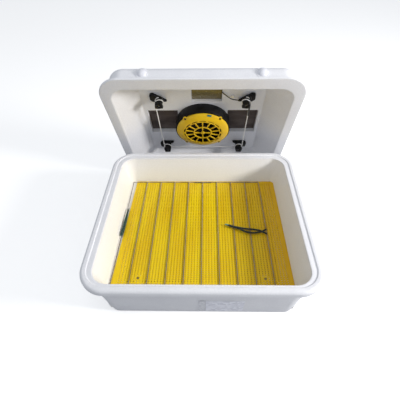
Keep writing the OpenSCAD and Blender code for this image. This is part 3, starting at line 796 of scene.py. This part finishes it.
def guard_plate():
    """A polar grid with faces left out: four openings, a ring of vents and a ring of arc slots."""
    steps, vents = 336, 14
    pitch = steps // vents
    quarter = steps // 4
    radii = (0.003, 0.007, 0.0285, 0.0325, 0.0585, 0.0612, 0.0655, 0.072, 0.078, 0.084, 0.0875, GUARD_R)
    hub_ring, vent_ring, slot_ring = 1, 3, 5

    def solid(ring, step):
        if ring == hub_ring:
            return not 5 <= step % quarter < quarter - 5
        if ring == vent_ring:
            return not 2 <= step % pitch < pitch - 2
        if ring == slot_ring:
            return not 3 <= (step + pitch // 2) % pitch < pitch - 3
        return True

    bm = bmesh.new()
    grid = []
    for r in radii:
        angles = [math.pi / 2 + 2 * math.pi * k / steps for k in range(steps)]
        grid.append([bm.verts.new((r * math.cos(a), r * math.sin(a), guard_height(r))) for a in angles])
    for i in range(len(radii) - 1):
        for k in range(steps):
            j = (k + 1) % steps
            if solid(i, k):
                bm.faces.new((grid[i][k], grid[i + 1][k], grid[i + 1][j], grid[i][j]))
    bm.faces.new(grid[0])
    thicken(bm, lambda co: co + Vector((0, 0, GUARD_T)))
    return to_object("guard", bm, yellow_plastic, 30)


def fan_guard():
    """The domed guard with rounded ribs, and an ear with a well for each screw."""
    guard = guard_plate()
    ease = guard.modifiers.new("ease", "BEVEL")
    ease.width = 0.0008
    ease.segments = 2
    ease.angle_limit = math.radians(50)
    apply_modifiers(guard)
    ears = []
    wells = []
    for sx, sy in CORNERS:
        x, y = sx * SCREW_X, sy * SCREW_Y
        ears.append(rod("ear", (x, y, GUARD_RIM_Z), (x, y, GUARD_RIM_Z + GUARD_T), 0.0072))
        wells.append(rod("well", (x, y, 0), (x, y, GUARD_RIM_Z), 0.0046))
    carve(guard, ears, "UNION")
    carve(guard, wells)
    shade(guard.data, 30)
    place(guard, "lid", "yellow_plastic", "fan_guard", on_lid=True)


def mirrored(outline, sx, sy):
    """An outline about the bracket's post, mirrored to the corner with signs sx and sy."""
    return [(sx * (POST.x + x), sy * (POST.y + y)) for x, y in outline]


def cord_brackets():
    """Four spools: a fat wedge on the ceiling, a round waist and a block at the near end."""
    wedge = ((-0.024, -0.012), (0.020, 0.020), (0.030, 0.017), (0.031, -0.004), (0.022, -0.013))
    near = ((-0.013, -0.009), (-0.009, 0.010), (0.011, 0.012), (0.014, -0.010), (0.004, -0.012))
    parts = []
    for sx, sy in CORNERS:
        x, y = sx * POST.x, sy * POST.y
        parts.append(prism("wedge", mirrored(wedge, sx, sy), 0.0475, HOLLOW_H - 0.0003, 0.0032))
        parts.append(rod("waist", (x, y, 0.024), (x, y, 0.050), WAIST_R))
        end = prism("end", mirrored(near, sx, sy), 0.019, 0.030, 0.0022)
        carve(end, [rod("recess", (x, y, 0.018), (x, y, 0.024), 0.0042)])
        parts.append(end)
    for part in parts:
        part.data.materials.clear()
        part.data.materials.append(black_plastic)
    place(merge("spool_brackets", parts), "lid", "black_plastic", "cord_brackets", on_lid=True)


def wrap(centre, start, end, z0, z1):
    """Points of a cord wound about a bracket's waist, from one angle to another in degrees."""
    count = max(2, round(abs(end - start) / 12))
    points = []
    for i in range(count + 1):
        t = i / count
        a = math.radians(start + (end - start) * t)
        points.append(centre + Vector((TURN_R * math.cos(a), TURN_R * math.sin(a), z0 + (z1 - z0) * t)))
    return points


def heater_cord():
    """One cord: wound on each bracket in turn, around three sides of the ceiling."""
    low, high = 0.0330, 0.0450
    corners = [Vector((sx * POST.x, sy * POST.y, 0)) for sx, sy in CORNERS]
    path = wrap(corners[0], 180 + 450, 180, high, low)
    path += wrap(corners[1], 180, 90 - 360, low, high)
    path += wrap(corners[2], 90, -360, high, low)
    path += wrap(corners[3], 0, -450, low, high)
    run = tube("heater_cord_run", path, CORD_R, silicone_cord, 10)
    place(run, "lid", "silicone_cord", "heater_cord", on_lid=True)
    x = POST.x + TURN_R + 0.001
    heights = ((-0.140, 0.046), (-0.128, 0.040), (-0.110, low), (-0.090, low), (-0.066, low))
    sleeve_path = [Vector((x, y, z)) for y, z in heights]
    sleeve = tube("cord_splice", sleeve_path, lambda t: 0.0034 - 0.0012 * t, black_cable, 12)
    place(sleeve, "lid", "black_cable", on_lid=True)


def controller_lead():
    points = [(0.061, -0.148, 0.0590), (0.066, -0.143, 0.0570), (0.080, -0.132, 0.0540),
              (0.092, -0.124, 0.0520), (0.105, -0.1205, 0.0510), (0.118, -0.119, 0.0500),
              (0.127, -0.1195, 0.0490)]
    lead = tube("controller_lead", smooth_path(points, 0.002), 0.0015, black_cable, 10)
    place(lead, "lid", "black_cable", "heater_lead", on_lid=True)


# ---- CAD nodes that stay, with their edges eased and a finish ----


def finish(material, edge, *names):
    for name in names:
        node = nodes[name]
        node.data.materials.clear()
        node.data.materials.append(material)
        node.data.polygons.foreach_set("use_smooth", [True] * len(node.data.polygons))
        weld = node.modifiers.new("weld", "WELD")
        weld.merge_threshold = 0.00001
        if edge:
            ease = node.modifiers.new("ease", "BEVEL")
            ease.width = edge
            ease.segments = 2
            ease.limit_method = "ANGLE"
            ease.angle_limit = math.radians(38)
            ease.harden_normals = True


def finish_nodes():
    finish(steel_wire, 0, "turner_frame")
    finish(zinc_steel, 0.0002, "frame_yoke", "motor_bracket", "crank_pin", "motor_shaft")
    finish(zinc_steel, 0.0002, "motor_screws", "clip_screws", "lug_screws", "bracket_screws")
    finish(black_steel, 0.0002, "guard_screws")
    finish(dull_brass, 0.0002, "floor_screws")
    finish(zinc_steel, 0, "rear_bails")
    finish(pale_plastic, 0.0006, "bail_clips", "lid_lugs", "left_vent_plug", "right_vent_plug")
    finish(white_plastic, 0.0005, "crank_disc", "water_tray", "controller_case")
    finish(grey_plastic, 0.0006, "turner_motor", "up_button", "down_button", "set_button")
    finish(black_plastic, 0.0005, "fan_motor", "fan_rotor")
    finish(black_plastic, 0.0006, "fan_housing", "mains_plate", "mains_socket")
    finish(smoked_pane, 0.0004, "left_window", "right_window")
    finish(brown_cover, 0.0004, "controller_cover")
    finish(circuit_board, 0.0001, "controller_board")
    finish(red_lens, 0.0004, "display_lens")
    finish(red_plastic, 0.0006, "power_rocker")
    finish(teal_tape, 0.0001, "guard_tag")
    finish(ivory_paper, 0.0003, "sensor_tag")
    finish(black_cable, 0, "turner_lead")


# ---- stage ----


def floor_look():
    """Pale paper: near white to the camera, and a mid tone in what it throws back on the object."""
    look = Look("pale_floor", 0.9)
    paper = look.mix(look.noise(0.6), (0.95, 0.95, 0.95), (0.93, 0.93, 0.93))
    seen = look.node("ShaderNodeLightPath").outputs["Is Camera Ray"]
    look.colour(look.mix(seen, (0.52, 0.53, 0.55), paper))
    look.set("Emission Color", (1, 1, 1, 1))
    look.link(look.ramp(seen, 0, 0.40), look.shader.inputs["Emission Strength"])
    return look.material


def stage():
    bm = bmesh.new()
    bmesh.ops.create_grid(bm, x_segments=1, y_segments=1, size=8)
    floor = to_object("pale_floor", bm, floor_look())
    world = bpy.data.worlds.new("studio")
    bpy.context.scene.world = world
    world.use_nodes = True
    tree = world.node_tree
    sky = tree.nodes["Background"]
    sky.inputs["Color"].default_value = (0.90, 0.94, 1.0, 1)
    sky.inputs["Strength"].default_value = 0.49
    plain = tree.nodes.new("ShaderNodeBackground")
    plain.inputs["Color"].default_value = (1, 1, 1, 1)
    path = tree.nodes.new("ShaderNodeLightPath")
    both = tree.nodes.new("ShaderNodeMixShader")
    tree.links.new(path.outputs["Is Camera Ray"], both.inputs[0])
    tree.links.new(sky.outputs[0], both.inputs[1])
    tree.links.new(plain.outputs[0], both.inputs[2])
    tree.links.new(both.outputs[0], tree.nodes["World Output"].inputs["Surface"])


def area_light(name, place_at, aim, size, power, colour):
    data = bpy.data.lights.new(name, "AREA")
    data.shape = "DISK"
    data.size = size
    data.energy = power
    data.color = colour
    light = bpy.data.objects.new(name, data)
    bpy.context.scene.collection.objects.link(light)
    light.location = place_at
    light.rotation_euler = (Vector(aim) - Vector(place_at)).to_track_quat("-Z", "Y").to_euler()


def lights():
    area_light("key", (1.95, -0.45, 1.05), (0, 0.05, 0.12), 0.5, 46, (1.0, 0.975, 0.945))
    area_light("top", (-0.3, -0.4, 2.4), (0, 0.1, 0.1), 1.6, 9, (0.96, 0.98, 1.0))


def camera():
    pitch, yaw, roll = math.radians(46.84), 0.030, 0.020
    right = Vector((math.cos(yaw), math.sin(yaw), 0))
    level = Vector((-math.sin(yaw), math.cos(yaw), 0))
    ahead = level * math.cos(pitch) - Vector((0, 0, math.sin(pitch)))
    up = level * math.sin(pitch) + Vector((0, 0, math.cos(pitch)))
    x_axis = right * math.cos(roll) - up * math.sin(roll)
    y_axis = up * math.cos(roll) + right * math.sin(roll)
    data = bpy.data.cameras.new("camera")
    data.lens = 27.47
    data.sensor_width = 36
    data.clip_start = 0.01
    view = bpy.data.objects.new("camera", data)
    bpy.context.scene.collection.objects.link(view)
    turn = Matrix((x_axis, y_axis, -ahead)).transposed().to_4x4()
    view.matrix_world = Matrix.Translation((0.0129, -0.5975, 0.8701)) @ turn
    bpy.context.scene.camera = view


tub_body()
floor_sheet()
wall_sheet("label", "label_sheet", label_paper, "label_paper", 0.0008, 4, 0.0003)
wall_sheet("tape", "label_tape", clear_tape, "clear_tape", 0.0006, 9, 0.0008)
pull_cords()
lid_body()
fan_guard()
cord_brackets()
heater_cord()
controller_lead()
finish_nodes()
stage()
lights()
camera()
bpy.context.scene.view_settings.view_transform = "Standard"
